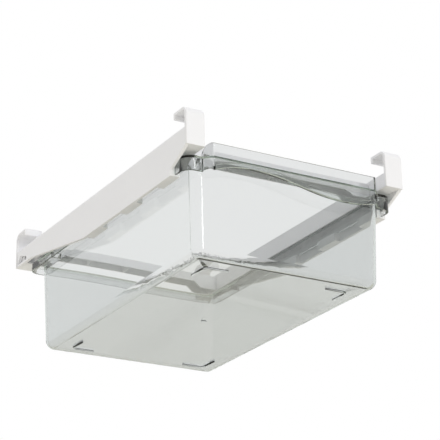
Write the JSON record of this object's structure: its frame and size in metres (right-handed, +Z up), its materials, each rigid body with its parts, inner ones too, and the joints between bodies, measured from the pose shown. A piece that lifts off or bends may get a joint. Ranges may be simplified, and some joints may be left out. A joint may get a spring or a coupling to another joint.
{
  "type": "hanging fridge drawer",
  "caption": "Clear pull-out drawer that slides in a white frame; hooks at its corners hang the frame from a shelf or bars.",
  "frame": {"origin": "the middle of the four hooks, in the plane of the undersides of their arms, where the shelf or bars carry them", "axes": "+X to the drawer's right seen from its front, +Y to the back, +Z up; the drawer pulls out along -Y"},
  "size_m": [0.235, 0.3712, 0.1359],
  "materials": {
    "clear_plastic": "clear, polished",
    "white_plastic": "smooth, satin"
  },
  "bodies": {
    "frame": {"rail_left": "white_plastic", "rail_right": "white_plastic", "crossbar_front": "white_plastic", "crossbar_rear": "white_plastic", "hook_front_left": "white_plastic", "hook_front_right": "white_plastic", "hook_rear_left": "white_plastic", "hook_rear_right": "white_plastic"},
    "drawer": {"drawer": "clear_plastic"}
  },
  "joints": [
    {"name": "drawer_slide", "type": "slide", "parent": "frame", "child": "drawer", "axis": [0, -1, 0], "range_m": [0, 0.23]}
  ]
}
